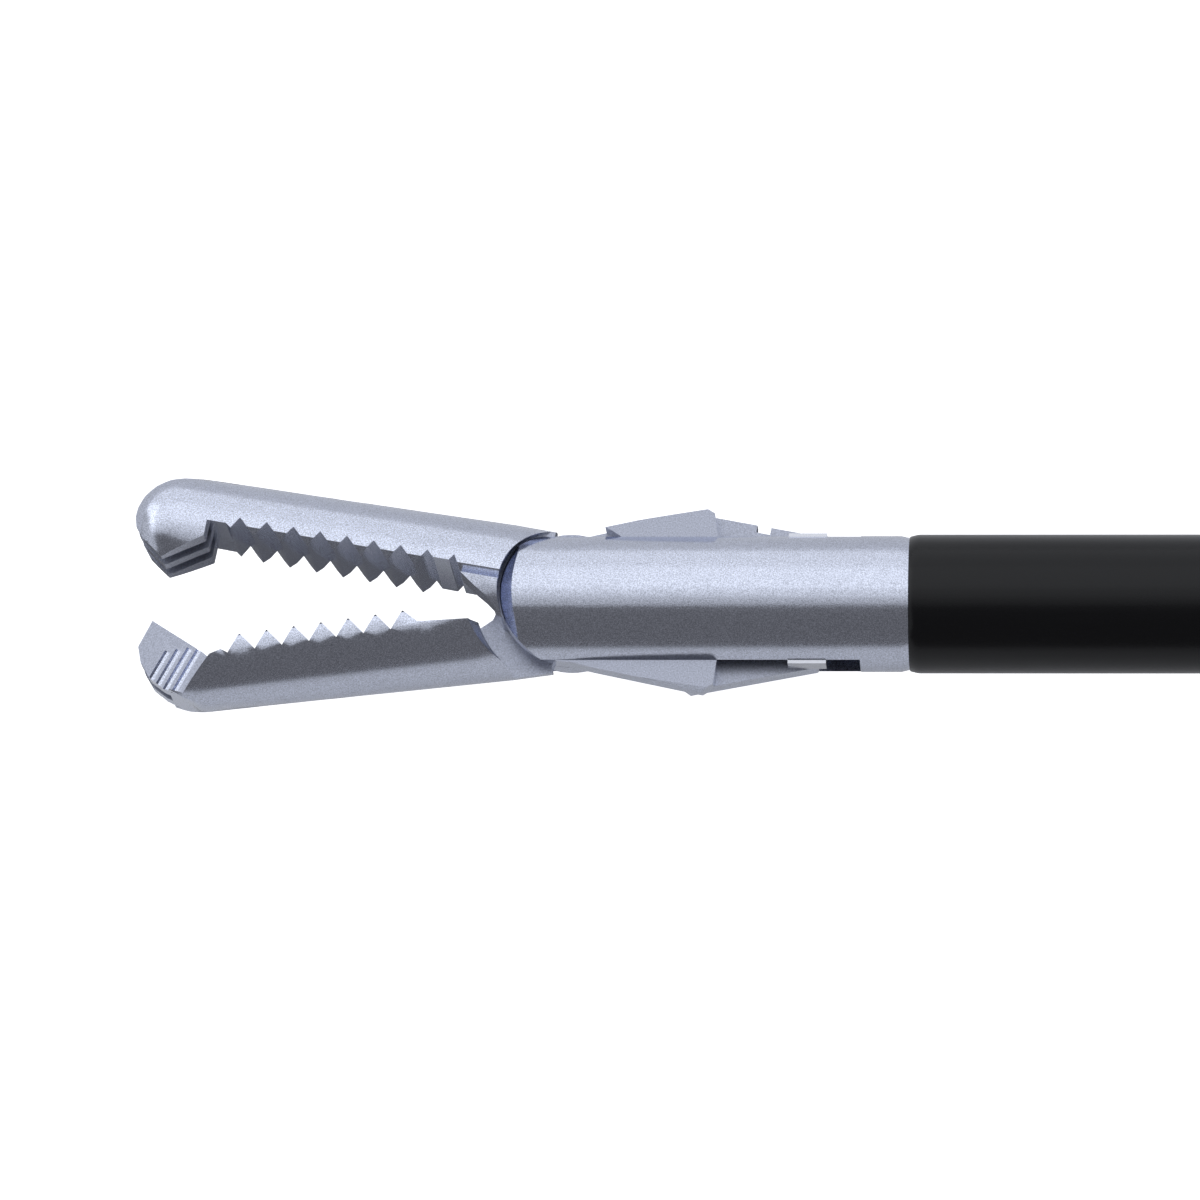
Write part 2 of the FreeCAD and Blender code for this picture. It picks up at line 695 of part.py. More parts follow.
def rod_ball():
    """Ball with a sleeve, pressed on the rod's end."""
    ball = Part.makeSphere(BALL_R, Vector(PIVOT_X, 0, 0))
    sleeve = rod_x(ROD_R + 0.35, PIVOT_X - BALL_R - 3.0, BALL_SEAT)
    return ball.fuse(sleeve).cut(rod_x(ROD_R + PRESS_FIT, PIVOT_X - BIG, BALL_SEAT)).removeSplitter()


def shaft_hub():
    """Steel sleeve on the tube: it carries the knob and the port, and turns in the handle's bearing."""
    inside_end = HUB_END - HUB_BACK_WALL
    collar_start = HUB_START + HUB_NOSE_LENGTH
    hub = rod_x(HUB_NOSE_R, HUB_START, HUB_END)
    hub = hub.fuse(rod_x(HUB_R, collar_start, HUB_END))
    hub = hub.fuse(rod_x(FLANGE_R, FLANGE_START, FLANGE_START + FLANGE_T))
    hub = hub.fuse(rod_x(HUB_COLLAR_R, collar_start, PORT_X + PORT_AT))
    hub = hub.cut(rod_x(TUBE_R + TUBE_FIT, HUB_START - 1, inside_end + TUBE_FIT))
    hub = hub.cut(rod_x(ROD_R + 2 * ROD_GUIDE_PLAY, HUB_START, HUB_END + 1))
    groove_start = HUB_END - (HUB_BACK_WALL + SEAL_WIDTH) / 2
    hub = hub.cut(rod_x(ROD_R + SEAL_HEIGHT, groove_start, groove_start + SEAL_WIDTH))
    hub = hub.cut(rod_y(PORT_BORE_R, 0, BIG, PORT_X).cut(rod_x(TUBE_R, HUB_START, PORT_X + BIG)))
    return hub.cut(rod_z(KNOB_SCREW_R, HUB_R - 0.5, BIG, KNOB_SCREW_X)).removeSplitter()


def hub_seal():
    start = HUB_END - (HUB_BACK_WALL + SEAL_WIDTH) / 2
    ring = rod_x(ROD_R + SEAL_HEIGHT - RUN_FIT, start + RUN_FIT, start + SEAL_WIDTH - RUN_FIT)
    return ring.cut(rod_x(ROD_R + RUN_FIT, HUB_START, HUB_END + 1))


def rotation_knob():
    """Fluted knob with a tapered nose, seated on the hub."""
    flank = 1.2
    shoulder = KNOB_START + KNOB_NOSE
    profile = [
        (KNOB_START, KNOB_NOSE_R - 0.8),
        (KNOB_START + 0.8, KNOB_NOSE_R),
        (KNOB_START + KNOB_NOSE * 0.6, KNOB_NOSE_R + flank),
        (shoulder, KNOB_R - flank),
        (shoulder + flank, KNOB_R),
        (KNOB_END - flank, KNOB_R),
        (KNOB_END, KNOB_R - flank),
    ]
    knob = turned(profile)
    reach = KNOB_R + KNOB_FLUTE_R - KNOB_FLUTE_DEPTH
    for i in range(KNOB_FLUTES):
        angle = 2 * math.pi * (i + 0.5) / KNOB_FLUTES
        y = reach * math.cos(angle)
        z = reach * math.sin(angle)
        knob = knob.cut(rod_x(KNOB_FLUTE_R, KNOB_START - 1, KNOB_END + 1, y, z))
    knob = knob.cut(rod_x(HUB_R + PRESS_FIT, KNOB_START - 1, KNOB_END + 1))
    return knob.cut(rod_z(KNOB_SCREW_R + PRESS_FIT, 0, BIG, KNOB_SCREW_X))


def knob_screw():
    """Set screw that holds the knob on the hub, with a hexagon socket."""
    top = KNOB_R - 1.0
    screw = rod_z(KNOB_SCREW_R, HUB_R - 0.45, top, KNOB_SCREW_X)
    corners = []
    for i in range(6):
        angle = math.pi * i / 3
        corners.append((KNOB_SCREW_X + 0.85 * math.cos(angle), 0.85 * math.sin(angle)))
    return screw.cut(prism(corners, top - 1.6, top + 1))


def flush_port():
    """Rinsing port with a conical lock: a tube with two lugs."""
    foot = rod_x(HUB_COLLAR_R + PRESS_FIT, PORT_X - BIG, PORT_X + BIG)
    stem = rod_y(PORT_R, HUB_COLLAR_R * 0.5, PORT_REACH, PORT_X).cut(foot)
    lugs = rod_y(PORT_LUG_R, PORT_REACH - PORT_LUG_T, PORT_REACH, PORT_X)
    lugs = lugs.common(block(PORT_X - BIG, PORT_X + BIG, 0, BIG, -PORT_R + 0.4, PORT_R - 0.4))
    collar = rod_y(PORT_R + 1.0, HUB_COLLAR_R + 1.2, HUB_COLLAR_R + 2.6, PORT_X)
    return stem.fuse(collar).fuse(lugs).cut(rod_y(PORT_BORE_R, 0, BIG, PORT_X)).removeSplitter()


def port_cap():
    cap = rod_y(CAP_R, PORT_REACH - CAP_T / 2, PORT_REACH + CAP_T / 2, PORT_X)
    cap = cap.cut(rod_y(PORT_LUG_R + RUN_FIT, 0, PORT_REACH + RUN_FIT, PORT_X))
    cap = cap.fuse(rod_y(PORT_BORE_R - RUN_FIT, PORT_REACH - 3.0, PORT_REACH + 1.0, PORT_X))
    for i in range(CAP_RIBS):
        angle = 2 * math.pi * i / CAP_RIBS
        cap = cap.cut(rod_y(0.45, 0, BIG, PORT_X + CAP_R * math.cos(angle), CAP_R * math.sin(angle)))
    return cap


# Handle


def lever_outline():
    ring_top = THUMB_Y + THUMB_HALF_LENGTH
    return [
        (PIVOT_X - LEVER_TOP_HALF, LEVER_TOP, 2.0),
        (PIVOT_X + LEVER_TOP_HALF, LEVER_TOP, 2.0),
        (PIVOT_X + LEVER_WAIST, PIVOT_Y, 6.0),
        (PIVOT_X + LEVER_ELBOW_OUT, PIVOT_Y - 18.0, 14.0),
        (THUMB_X + 1.0, ring_top + 5.0, 3.0),
        (THUMB_X - 3.0, ring_top - 1.0, 1.0),
        (THUMB_X - 9.0, ring_top - 3.0, 3.0),
        (PIVOT_X + LEVER_ELBOW_IN, PIVOT_Y - 20.0, 14.0),
        (PIVOT_X - LEVER_WAIST, PIVOT_Y - 2.0, 6.0),
    ]


def ring_outer_and_hole(x, y, half_width, half_length, lean):
    outer = oval(x, y, half_width + RING_WALL, half_length + RING_WALL, -RING_HALF, RING_HALF, lean)
    hole = oval(x, y, half_width, half_length, -BIG, BIG, lean)
    return soften(outer.cut(hole), RING_EDGE), hole


def rod_mouth():
    """Room for the rod's sleeve where it enters the lever, over the whole swing."""
    half = ROD_R + ROD_MOUTH_PLAY
    return block(PIVOT_X - 12.0, PIVOT_X, -half, half, -half, half)


def thumb_lever():
    outer, hole = ring_outer_and_hole(THUMB_X, THUMB_Y, THUMB_HALF_WIDTH, THUMB_HALF_LENGTH, THUMB_LEAN)
    arm = rounded_prism(lever_outline(), -LEVER_HALF, LEVER_HALF)
    arm = soften(arm, 1.2).cut(hole)
    lever = arm.fuse(outer).removeSplitter()
    bush_r = PIVOT_D / 2 + LEVER_BUSH_WALL
    lever = lever.cut(rod_z(bush_r + PRESS_FIT, -BIG, BIG, PIVOT_X, PIVOT_Y))
    return lever.cut(rod_z(SOCKET_R + PRESS_FIT, -BIG, BIG, PIVOT_X, 0)).cut(rod_mouth())


def socket_insert():
    """Round steel insert in the lever's top, which holds the rod's ball and lets it rise and fall."""
    insert = rod_z(SOCKET_R, -LEVER_HALF, LEVER_HALF, PIVOT_X, 0)
    insert = insert.cut(rod_y(BALL_R + BALL_PLAY, -BALL_RISE, BALL_RISE, PIVOT_X, 0))
    for y in (-BALL_RISE, BALL_RISE):
        insert = insert.cut(Part.makeSphere(BALL_R + BALL_PLAY, Vector(PIVOT_X, y, 0)))
    return insert.cut(rod_mouth())


def lever_bush():
    outer = rod_z(PIVOT_D / 2 + LEVER_BUSH_WALL, -LEVER_HALF, LEVER_HALF, PIVOT_X, PIVOT_Y)
    return outer.cut(rod_z(PIVOT_D / 2 + RUN_FIT, -BIG, BIG, PIVOT_X, PIVOT_Y))


def pivot_pin():
    reach = SHELL_HALF - PIVOT_SKIN
    return rod_z(PIVOT_D / 2, -reach, reach, PIVOT_X, PIVOT_Y)


def handle_outline():
    neck_y = FINGER_Y + FINGER_HALF_LENGTH + 2.5
    return [
        (HANDLE_START, HANDLE_NOSE_HALF, 4.0),
        (HANDLE_START + HANDLE_CREST_AT, HANDLE_TOP, 10.0),
        (PIVOT_X + HANDLE_BACK, HANDLE_BACK_TOP, 7.0),
        (PIVOT_X + HANDLE_BACK, HANDLE_BACK_LOW, 8.0),
        (PIVOT_X - 1.0, HANDLE_HEEL_LOW, 12.0),
        (FINGER_X + HANDLE_NECK_BACK, neck_y, 1.0),
        (FINGER_X - HANDLE_NECK_FRONT, neck_y, 1.0),
        (HANDLE_START + HANDLE_CHIN_AT, HANDLE_CHIN_LOW, 14.0),
        (HANDLE_START, -HANDLE_NOSE_HALF, 4.0),
    ]


def screw_places():
    return [
        (HANDLE_START + FRONT_SCREW_AT, FRONT_SCREW_Y),
        (PIVOT_X + BACK_SCREW_BEHIND, BACK_SCREW_Y),
        (FINGER_X, FINGER_Y + FINGER_HALF_LENGTH + RING_SCREW_RISE),
    ]


def handle_screws():
    """Three pan-head screws with a plain slot, from the front shell into the back one."""
    screws = []
    for x, y in screw_places():
        screw = rod_z(SCREW_HEAD_R, SCREW_TOP - SCREW_HEAD_T, SCREW_TOP, x, y)
        screw = screw.fuse(rod_z(SCREW_R, SCREW_TOP - SCREW_DEPTH, SCREW_TOP - SCREW_HEAD_T, x, y))
        y_slot = (y - SCREW_SLOT_HALF, y + SCREW_SLOT_HALF)
        slot = block(x - SCREW_HEAD_R, x + SCREW_HEAD_R, *y_slot, SCREW_TOP - SCREW_SLOT_DEPTH, BIG)
        screws.append(screw.cut(slot))
    return Part.makeCompound(screws)


def screw_holes():
    holes = []
    for x, y in screw_places():
        holes.append(rod_z(SCREW_HEAD_R + SCREW_HEAD_PLAY, SCREW_TOP - SCREW_HEAD_T, BIG, x, y))
        holes.append(rod_z(SCREW_R + PRESS_FIT, SCREW_TOP - SCREW_DEPTH, BIG, x, y))
    return holes


def hub_room():
    """Bearing seat, flange pocket, and the room for the hub's tail and the rod."""
    bearing_end = HANDLE_START + BEARING_LENGTH
    pocket_end = bearing_end + FLANGE_T + FLANGE_PLAY
    room = rod_x(HUB_R + BEARING_WALL, HANDLE_START - 1, bearing_end)
    room = room.fuse(rod_x(FLANGE_R + 0.3, bearing_end, pocket_end))
    room = room.fuse(rod_x(HUB_R + 0.3, pocket_end, HUB_END + 0.5))
    return room.fuse(rod_x(ROD_R + 1.5, HUB_END, PIVOT_X))


def post_room():
    """Seats of the plug post, its insulating collar and the contact block."""
    half = CONTACT_LENGTH / 2
    width = CONTACT_WIDTH / 2
    room = block(POST_X - half, POST_X + half, 0, POST_BASE, -width, width)
    room = room.fuse(rod_y(POST_HEAD_R + PRESS_FIT, POST_BASE - 0.01, POST_BASE + POST_HEAD_T, POST_X))
    return room.fuse(rod_y(COLLAR_R + PRESS_FIT, POST_BASE + POST_HEAD_T - 0.01, BIG, POST_X))


def swung(x, y, turn):
    """A point of the lever, turned about the pivot and pushed out by the slot's play."""
    across = x - PIVOT_X
    along = y - PIVOT_Y
    angle = math.atan2(along, across) + math.radians(turn)
    reach = math.hypot(across, along) + LEVER_SLOT_PLAY
    return PIVOT_X + reach * math.cos(angle), PIVOT_Y + reach * math.sin(angle)


def lever_room():
    """The slot that the thumb lever swings in, between its two end positions."""
    opened = LEVER_OPEN + LEVER_SWING_PLAY
    closed = -LEVER_CLOSE - LEVER_SWING_PLAY
    top = LEVER_TOP + LEVER_SLOT_PLAY
    elbow_in = swung(PIVOT_X + LEVER_ELBOW_IN, PIVOT_Y - 20.0, closed)
    elbow_out = swung(PIVOT_X + LEVER_ELBOW_OUT, PIVOT_Y - 18.0, opened)
    outline = [
        swung(PIVOT_X - LEVER_TOP_HALF, top, opened),
        swung(PIVOT_X + LEVER_TOP_HALF, top, closed),
        swung(PIVOT_X + LEVER_WAIST, PIVOT_Y, 0),
        elbow_out,
        (elbow_out[0], elbow_in[1] - 4.0),
        (elbow_in[0] + 4.0, elbow_in[1] - 4.0),
        elbow_in,
        swung(PIVOT_X - LEVER_WAIST, PIVOT_Y - 2.0, 0),
    ]
    return prism(outline, -LEVER_SLOT_HALF, LEVER_SLOT_HALF)


def handle_shells():
    """Both halves of the handle, split at the middle plane."""
    outer, hole = ring_outer_and_hole(FINGER_X, FINGER_Y, FINGER_HALF_WIDTH, FINGER_HALF_LENGTH, 0.0)
    body = soften(rounded_prism(handle_outline(), -SHELL_HALF, SHELL_HALF), SHELL_EDGE).cut(hole)
    body = body.fuse(outer).removeSplitter()
    pin_reach = SHELL_HALF - PIVOT_SKIN
    pin_hole = rod_z(PIVOT_D / 2 + PRESS_FIT, -pin_reach, pin_reach, PIVOT_X, PIVOT_Y)
    cuts = [hub_room(), post_room(), lever_room(), pin_hole] + screw_holes()
    shells = []
    for low, high in ((0, BIG), (-BIG, 0)):
        shell = body.common(block(0, 2 * PIVOT_X, -3 * BIG, BIG, low, high))
        for cut in cuts:
            shell = shell.cut(cut)
        shells.append(shell)
    return shells


def front_bearing():
    outer = rod_x(HUB_R + BEARING_WALL - PRESS_FIT, HANDLE_START, HANDLE_START + BEARING_LENGTH)
    return outer.cut(rod_x(HUB_R + RUN_FIT, HANDLE_START - 1, HANDLE_START + BEARING_LENGTH + 1))


def hf_post():
    """Plug post for the high-frequency lead: a flat head and a thick seat in the collar, then the plug pin."""
    neck_end = COLLAR_TOP + POST_NECK
    top = neck_end + POST_LENGTH
    post = rod_y(POST_HEAD_R, POST_BASE, POST_BASE + POST_HEAD_T, POST_X)
    post = post.fuse(rod_y(POST_SEAT_R, POST_BASE, COLLAR_TOP, POST_X))
    post = post.fuse(rod_y(POST_NECK_R, COLLAR_TOP, neck_end, POST_X))
    post = post.fuse(rod_y(POST_R, neck_end, top, POST_X))
    tip = Part.makeCone(POST_R, POST_R - POST_TIP, POST_TIP, Vector(POST_X, top, 0), Vector(0, 1, 0))
    return post.fuse(tip).removeSplitter()


def hf_collar():
    """Insulating collar round the post, seated in both shells."""
    collar = rod_y(COLLAR_R, POST_BASE + POST_HEAD_T, COLLAR_TOP, POST_X)
    rim = rod_y(COLLAR_R + 0.8, COLLAR_TOP - 2.0, COLLAR_TOP, POST_X)
    return collar.fuse(rim).cut(rod_y(POST_SEAT_R + PRESS_FIT, 0, BIG, POST_X)).removeSplitter()


def contact_block():
    """Brass block that carries the current from the post to the turning hub."""
    half = CONTACT_LENGTH / 2 - PRESS_FIT
    width = CONTACT_WIDTH / 2 - PRESS_FIT
    shoe = block(POST_X - half, POST_X + half, HUB_R * 0.5, POST_BASE - PRESS_FIT, -width, width)
    return shoe.cut(rod_x(HUB_R + RUN_FIT, POST_X - BIG, POST_X + BIG))


# Build

upper = jaw(upper_blade(), upper_tang(), -UPPER_REST, -1)
lower = jaw(lower_blade(), lower_tang(), LOWER_REST, 1)
save_from_hinge("upper_jaw", upper)
save_from_hinge("lower_jaw", lower)
save_from_hinge("upper_jaw_tang_pin", tang_pin(-1))
save_from_hinge("lower_jaw_tang_pin", tang_pin(1))
save_from_hinge("upper_jaw_link", link(-1, UPPER_JAW_LINK_OUTER, UPPER_JAW_LINK_CORNER))
save_from_hinge("lower_jaw_link", link(1, LOWER_JAW_LINK_OUTER, LOWER_JAW_LINK_CORNER))
save_from_hinge("rod_crosshead", crosshead())
save_from_hinge("crosshead_pins", crosshead_pins())
save_from_hinge("clevis", clevis())
save_from_hinge("hinge_pin", hinge_pin())
save("insulation_sheath", sheath())
save("shaft_tube", shaft_tube())
save("push_rod", push_rod())
save("rod_ball", rod_ball())
save("shaft_hub", shaft_hub())
save("hub_seal", hub_seal())
save("rotation_knob", rotation_knob())
save("knob_screw", knob_screw())
save("flush_port", flush_port())
save("port_cap", port_cap())
save("thumb_lever", thumb_lever())
save("socket_insert", socket_insert())
save("lever_bush", lever_bush())
save("lever_pivot_pin", pivot_pin())
front_shell, back_shell = handle_shells()
save("handle_shell_front", front_shell)
save("handle_shell_back", back_shell)
save("handle_screws", handle_screws())
save("front_bearing", front_bearing())
save("hf_post", hf_post())
save("hf_collar", hf_collar())
save("contact_block", contact_block())
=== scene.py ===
import json
import math

import bmesh
import bpy
from mathutils import Matrix, Vector

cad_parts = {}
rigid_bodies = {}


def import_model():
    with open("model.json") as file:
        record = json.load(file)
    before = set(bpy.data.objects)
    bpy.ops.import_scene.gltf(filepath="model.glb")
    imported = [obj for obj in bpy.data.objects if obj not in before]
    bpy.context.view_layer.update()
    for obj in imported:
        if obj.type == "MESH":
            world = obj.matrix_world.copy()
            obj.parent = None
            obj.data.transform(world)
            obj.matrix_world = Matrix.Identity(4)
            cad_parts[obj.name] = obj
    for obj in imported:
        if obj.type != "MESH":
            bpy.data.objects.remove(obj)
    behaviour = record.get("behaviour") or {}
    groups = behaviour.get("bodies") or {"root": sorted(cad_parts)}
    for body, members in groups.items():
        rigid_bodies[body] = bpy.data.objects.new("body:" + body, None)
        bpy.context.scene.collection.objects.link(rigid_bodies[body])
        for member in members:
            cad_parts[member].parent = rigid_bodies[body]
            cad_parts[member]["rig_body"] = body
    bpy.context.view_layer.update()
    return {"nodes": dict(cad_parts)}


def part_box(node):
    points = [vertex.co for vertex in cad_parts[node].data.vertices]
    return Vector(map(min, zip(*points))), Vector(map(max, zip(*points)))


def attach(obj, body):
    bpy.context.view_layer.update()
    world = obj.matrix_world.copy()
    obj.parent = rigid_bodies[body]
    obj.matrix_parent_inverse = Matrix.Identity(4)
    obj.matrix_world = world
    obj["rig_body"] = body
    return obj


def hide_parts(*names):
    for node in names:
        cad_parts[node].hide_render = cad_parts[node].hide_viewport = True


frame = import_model()

# Laparoscopic grasper, lying on its side on a pale table. Metres.
# X runs from the jaws to the handle, and Z is up, along the hinge of the jaws.

MM = 0.001

# Places that the frame gives
HINGE = Vector((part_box("hinge_pin")[0].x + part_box("hinge_pin")[1].x, 0, 0)) / 2
SHEATH_LOW, SHEATH_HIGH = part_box("insulation_sheath")
SHAFT_RADIUS = SHEATH_HIGH.z
TABLE_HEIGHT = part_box("rotation_knob")[0].z

# Camera, worked out from the photograph
PICTURE_SIZE = 1200
HINGE_PIXEL = (572, 604)
FOCAL_PIXELS = 10150
CAMERA_DISTANCE = 365 * MM
CAMERA_LEAN = math.radians(14)
CAMERA_YAW = math.radians(3.4)
SENSOR_WIDTH = 36.0
CLIP_START = 0.01
CLIP_END = 50

# Light: angles of the softbox's panels from overhead towards +Y, and the brightness of each
SOFTBOX_DISTANCE = 0.8
SOFTBOX_LENGTH = 3.0
SOFTBOX_CENTRE = 0.15
LIGHT_TINT = (0.93, 0.96, 1.0)
PANELS = [
    ("low_panel", -15, -3, 0.42),
    ("fill_panel", -3, 12, 0.74),
    ("key_panel", 12, 52, 1.02),
    ("top_panel", 52, 90, 0.85),
]
END_PANEL_DISTANCE = 0.9
END_PANEL_RISE = 0.35
END_PANEL_BRIGHTNESS = 0.45

# Surroundings
ROOM_LIGHT = 0.16
ROOM_BLUE = 1.04
BACKDROP = 0.95
TABLE_HALF = 12.0
TABLE_COLOUR = (0.86, 0.86, 0.87, 1)
TABLE_GLOW = 0.75
CARD_EDGES = (-60, 40, -1.5, 5.5)
CARD_RISE = 0.5 * MM
# Painted shadow: colour of the dark card under the jaws, which only the metal's reflections see
REFLECTED_SHADOW_COLOUR = (0.19, 0.19, 0.20, 1)

# Finishes
CLOUD_CHANGE = 0.08
ROUGHNESS_SHARE = 0.05
BUMP_DISTANCE = 0.02 * MM
GRAIN_DETAIL = 2
STREAK_DETAIL = 3
MID_TONE = 0.5

# Dressed pieces
SAME_POINT = 0.0005 * MM
FLAT_ANGLE = math.radians(0.6)
CREASE_ANGLE = math.radians(28)
FLAT_FACING = 0.99995

# Sheath
SHEATH_SIDES = 160
SHEATH_LENGTHS = 24
SHEATH_WALL = 0.4 * MM
SHEATH_ROUND = 0.06 * MM
SHEATH_TAPER = 0.3 * MM
SHEATH_TAPER_DEPTH = 0.07 * MM
SHEATH_CREASE = math.radians(50)


def add_object(name, data):
    thing = bpy.data.objects.new(name, data)
    bpy.context.scene.collection.objects.link(thing)
    return thing


def towards_camera():
    """Direction from the object to the camera."""
    return Vector((
        math.sin(CAMERA_YAW),
        -math.sin(CAMERA_LEAN) * math.cos(CAMERA_YAW),
        math.cos(CAMERA_LEAN) * math.cos(CAMERA_YAW),
    ))


def make_camera():
    back = towards_camera()
    right = (Vector((1, 0, 0)) - back * back.x).normalized()
    up = back.cross(right)
    middle = PICTURE_SIZE / 2
    size_of_pixel = CAMERA_DISTANCE / FOCAL_PIXELS
    aim = HINGE + right * (middle - HINGE_PIXEL[0]) * size_of_pixel
    aim += up * (HINGE_PIXEL[1] - middle) * size_of_pixel
    data = bpy.data.cameras.new("camera")
    data.sensor_width = SENSOR_WIDTH
    data.lens = FOCAL_PIXELS / PICTURE_SIZE * SENSOR_WIDTH
    data.clip_start = CLIP_START
    data.clip_end = CLIP_END
    camera = add_object("camera", data)
    turn = Matrix((right, up, back)).transposed()
    camera.matrix_world = Matrix.Translation(aim + back * CAMERA_DISTANCE) @ turn.to_4x4()
    bpy.context.scene.camera = camera


def lamp(name, middle, along, length, height, radiance):
    """A flat rectangular lamp that faces the jaws."""
    data = bpy.data.lights.new(name, "AREA")
    data.shape = "RECTANGLE"
    data.size = length
    data.size_y = height
    data.color = LIGHT_TINT
    data.energy = radiance * math.pi * length * height
    panel = add_object(name, data)
    back = middle.normalized()
    across = back.cross(along)
    turn = Matrix((along, across, back)).transposed()
    panel.matrix_world = Matrix.Translation(middle) @ turn.to_4x4()
    panel.visible_camera = False
    return panel


def around_shaft(degrees):
    """Point of the softbox at an angle from overhead."""
    angle = math.radians(degrees)
    return Vector((0, math.sin(angle), math.cos(angle))) * SOFTBOX_DISTANCE


def make_softbox():
    """Long softbox beside the shaft, and a dimmer panel before the tip."""
    for name, start, end, radiance in PANELS:
        first = around_shaft(start)
        second = around_shaft(end)
        height = (second - first).length
        panel = lamp(name, (first + second) / 2, Vector((1, 0, 0)), SOFTBOX_LENGTH, height, radiance)
        panel.location.x = SOFTBOX_CENTRE
    middle = Vector((-END_PANEL_DISTANCE, 0, END_PANEL_RISE))
    width = 2 * END_PANEL_DISTANCE
    lamp("end_panel", middle, Vector((0, 1, 0)), width, 2 * END_PANEL_RISE, END_PANEL_BRIGHTNESS)


def new_material(name):
    material = bpy.data.materials.new(name)
    material.use_nodes = True
    material.node_tree.nodes.clear()
    return material, material.node_tree.nodes, material.node_tree.links


def flat_sheet(name, x0, x1, y0, y1, height, material):
    """One level face with a material."""
    mesh = bpy.data.meshes.new(name)
    corners = [(x0, y0, 0), (x1, y0, 0), (x1, y1, 0), (x0, y1, 0)]
    mesh.from_pydata(corners, [], [(0, 1, 2, 3)])
    mesh.materials.append(material)
    sheet = add_object(name, mesh)
    sheet.location.z = height
    return sheet


def make_reflected_shadow_card():
    """Painted shadow: a dark card under the jaws that only the metal mirrors. It stands in for the
    shade beneath them, so that the teeth stand out.
    """
    material, nodes, links = new_material("reflected_shadow_card")
    out = nodes.new("ShaderNodeOutputMaterial")
    matt = nodes.new("ShaderNodeBsdfDiffuse")
    matt.inputs["Color"].default_value = REFLECTED_SHADOW_COLOUR
    links.new(matt.outputs[0], out.inputs["Surface"])
    x0, x1, y0, y1 = (place * MM for place in CARD_EDGES)
    card = flat_sheet("reflected_shadow_card", x0, x1, y0, y1, TABLE_HEIGHT + CARD_RISE, material)
    card.visible_camera = False
    card.visible_diffuse = False
    card.visible_shadow = False


def make_table():
    """Large pale table top, paler to the camera than to the metal, as in an overexposed shot."""
    material, nodes, links = new_material("pale_table")
    out = nodes.new("ShaderNodeOutputMaterial")
    mix = nodes.new("ShaderNodeMixShader")
    path = nodes.new("ShaderNodeLightPath")
    matt = nodes.new("ShaderNodeBsdfDiffuse")
    matt.inputs["Color"].default_value = TABLE_COLOUR
    glow = nodes.new("ShaderNodeEmission")
    glow.inputs["Color"].default_value = (1, 1, 1, 1)
    glow.inputs["Strength"].default_value = TABLE_GLOW
    both = nodes.new("ShaderNodeAddShader")
    links.new(matt.outputs[0], both.inputs[0])
    links.new(glow.outputs[0], both.inputs[1])
    links.new(path.outputs["Is Camera Ray"], mix.inputs["Fac"])
    links.new(matt.outputs[0], mix.inputs[1])
    links.new(both.outputs[0], mix.inputs[2])
    links.new(mix.outputs[0], out.inputs["Surface"])
    half = TABLE_HALF
    table = flat_sheet("table", -half, half, -half, half, TABLE_HEIGHT, material)


def make_room():
    """Dim grey room light. The camera sees a pale backdrop instead."""
    world = bpy.data.worlds.new("room")
    world.use_nodes = True
    nodes, links = world.node_tree.nodes, world.node_tree.links
    nodes.clear()
    out = nodes.new("ShaderNodeOutputWorld")
    mix = nodes.new("ShaderNodeMixShader")
    path = nodes.new("ShaderNodeLightPath")
    dim = nodes.new("ShaderNodeBackground")
    dim.inputs["Color"].default_value = (ROOM_LIGHT, ROOM_LIGHT, ROOM_LIGHT * ROOM_BLUE, 1)
    pale = nodes.new("ShaderNodeBackground")
    pale.inputs["Color"].default_value = (BACKDROP, BACKDROP, BACKDROP, 1)
    links.new(path.outputs["Is Camera Ray"], mix.inputs["Fac"])
    links.new(dim.outputs[0], mix.inputs[1])
    links.new(pale.outputs[0], mix.inputs[2])
    links.new(mix.outputs[0], out.inputs["Surface"])
    bpy.context.scene.world = world


def make_group(name, inputs, outputs):
    """An empty node group. inputs and outputs are (name, kind)."""
    group = bpy.data.node_groups.new(name, "ShaderNodeTree")
    for label, kind in inputs:
        group.interface.new_socket(label, in_out="INPUT", socket_type=kind)
    for label, kind in outputs:
        group.interface.new_socket(label, in_out="OUTPUT", socket_type=kind)
    entry = group.nodes.new("NodeGroupInput")
    leave = group.nodes.new("NodeGroupOutput")
    return group, entry, leave


def add_math(nodes, links, operation, first, second):
    """A Math node. first and second are sockets or numbers."""
    node = nodes.new("ShaderNodeMath")
    node.operation = operation
    for socket, value in zip(node.inputs, (first, second)):
        if isinstance(value, (int, float)):
            socket.default_value = value
        else:
            links.new(value, socket)
    return node.outputs[0]


def make_grain():
    """Fine grain over soft clouds. Tone changes the colour, and Height the surface."""
    scales = [("Grain Scale", "NodeSocketFloat"), ("Cloud Scale", "NodeSocketFloat")]
    changes = [("Grain Change", "NodeSocketFloat"), ("Cloud Change", "NodeSocketFloat")]
    results = [("Tone", "NodeSocketFloat"), ("Height", "NodeSocketFloat")]
    group, entry, leave = make_group("fine_grain", scales + changes, results)
    nodes, links = group.nodes, group.links
    place = nodes.new("ShaderNodeTexCoord").outputs["Object"]
    tone = 1.0
    for label in ("Cloud", "Grain"):
        noise = nodes.new("ShaderNodeTexNoise")
        noise.inputs["Detail"].default_value = GRAIN_DETAIL
        links.new(place, noise.inputs["Vector"])
        links.new(entry.outputs[label + " Scale"], noise.inputs["Scale"])
        centred = add_math(nodes, links, "SUBTRACT", noise.outputs["Fac"], MID_TONE)
        change = add_math(nodes, links, "MULTIPLY", centred, entry.outputs[label + " Change"])
        tone = add_math(nodes, links, "ADD", change, tone)
        grain = noise
    links.new(tone, leave.inputs["Tone"])
    links.new(grain.outputs["Fac"], leave.inputs["Height"])
    return group


